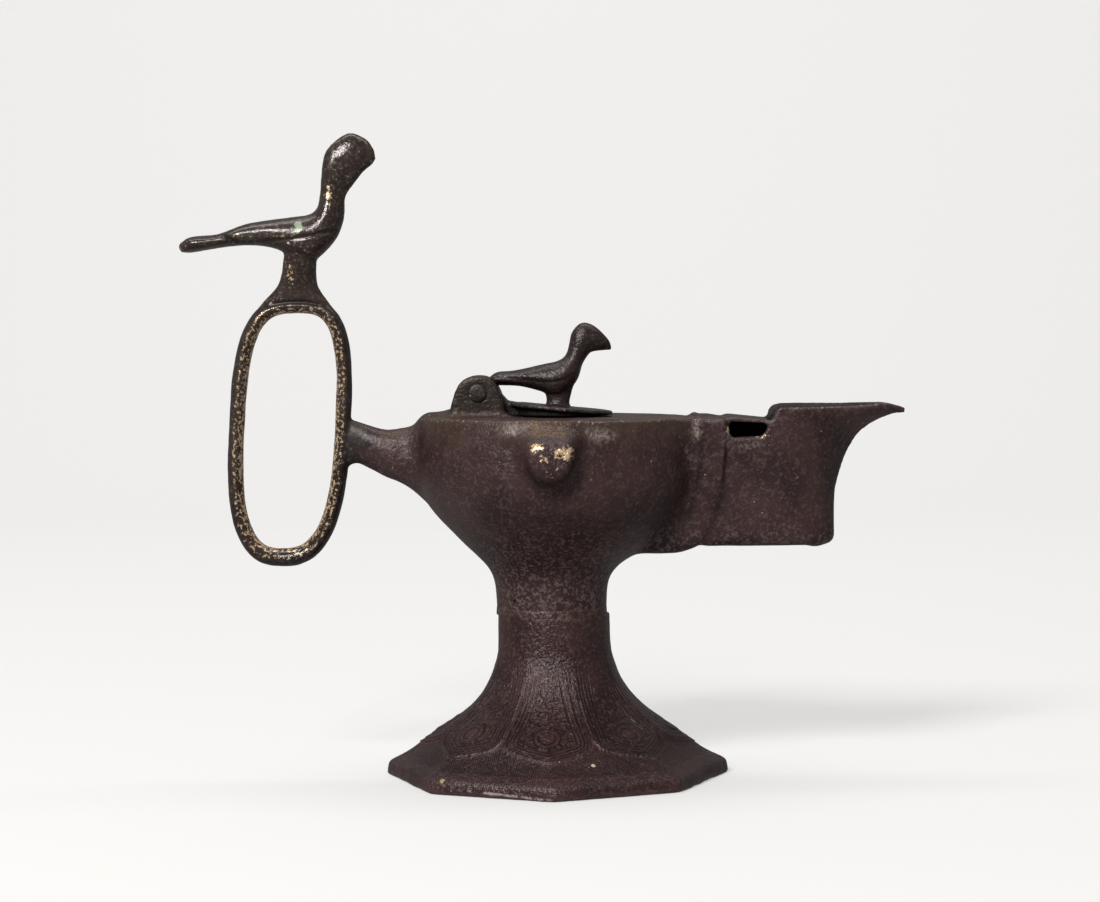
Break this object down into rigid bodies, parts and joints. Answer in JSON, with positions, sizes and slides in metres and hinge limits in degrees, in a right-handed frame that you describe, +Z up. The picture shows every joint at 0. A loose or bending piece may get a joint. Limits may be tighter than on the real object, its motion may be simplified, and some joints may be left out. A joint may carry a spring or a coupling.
{
  "type": "oil lamp",
  "caption": "Footed cast bronze oil lamp with trough spout, looped handle topped by a bird, hinged bird lid and splayed octagonal petal foot.",
  "frame": {"origin": "middle of the lamp's length and depth, on the surface it stands on", "axes": "+X towards the spout's tip, +Z up, the pictured side faces -Y"},
  "size_m": [0.1738, 0.0828, 0.1544],
  "materials": {
    "bronze_foot": "dark brown patina, engraved, satin",
    "bronze_bowl": "dark brown patina, worn bright on its high places",
    "bronze_lid": "near black patina, satin",
    "bronze_pin": "dark brown patina"
  },
  "bodies": {
    "lamp": {"foot": "bronze_foot", "lamp_bowl": "bronze_bowl", "hinge_pin": "bronze_pin"},
    "lid": {"lid": "bronze_lid"}
  },
  "joints": [
    {"name": "lid_hinge", "type": "hinge", "parent": "lamp", "child": "lid", "pos_m": [-0.0159, 0, 0.09225], "axis": [0, -1, 0], "range_deg": [0, 105]}
  ]
}
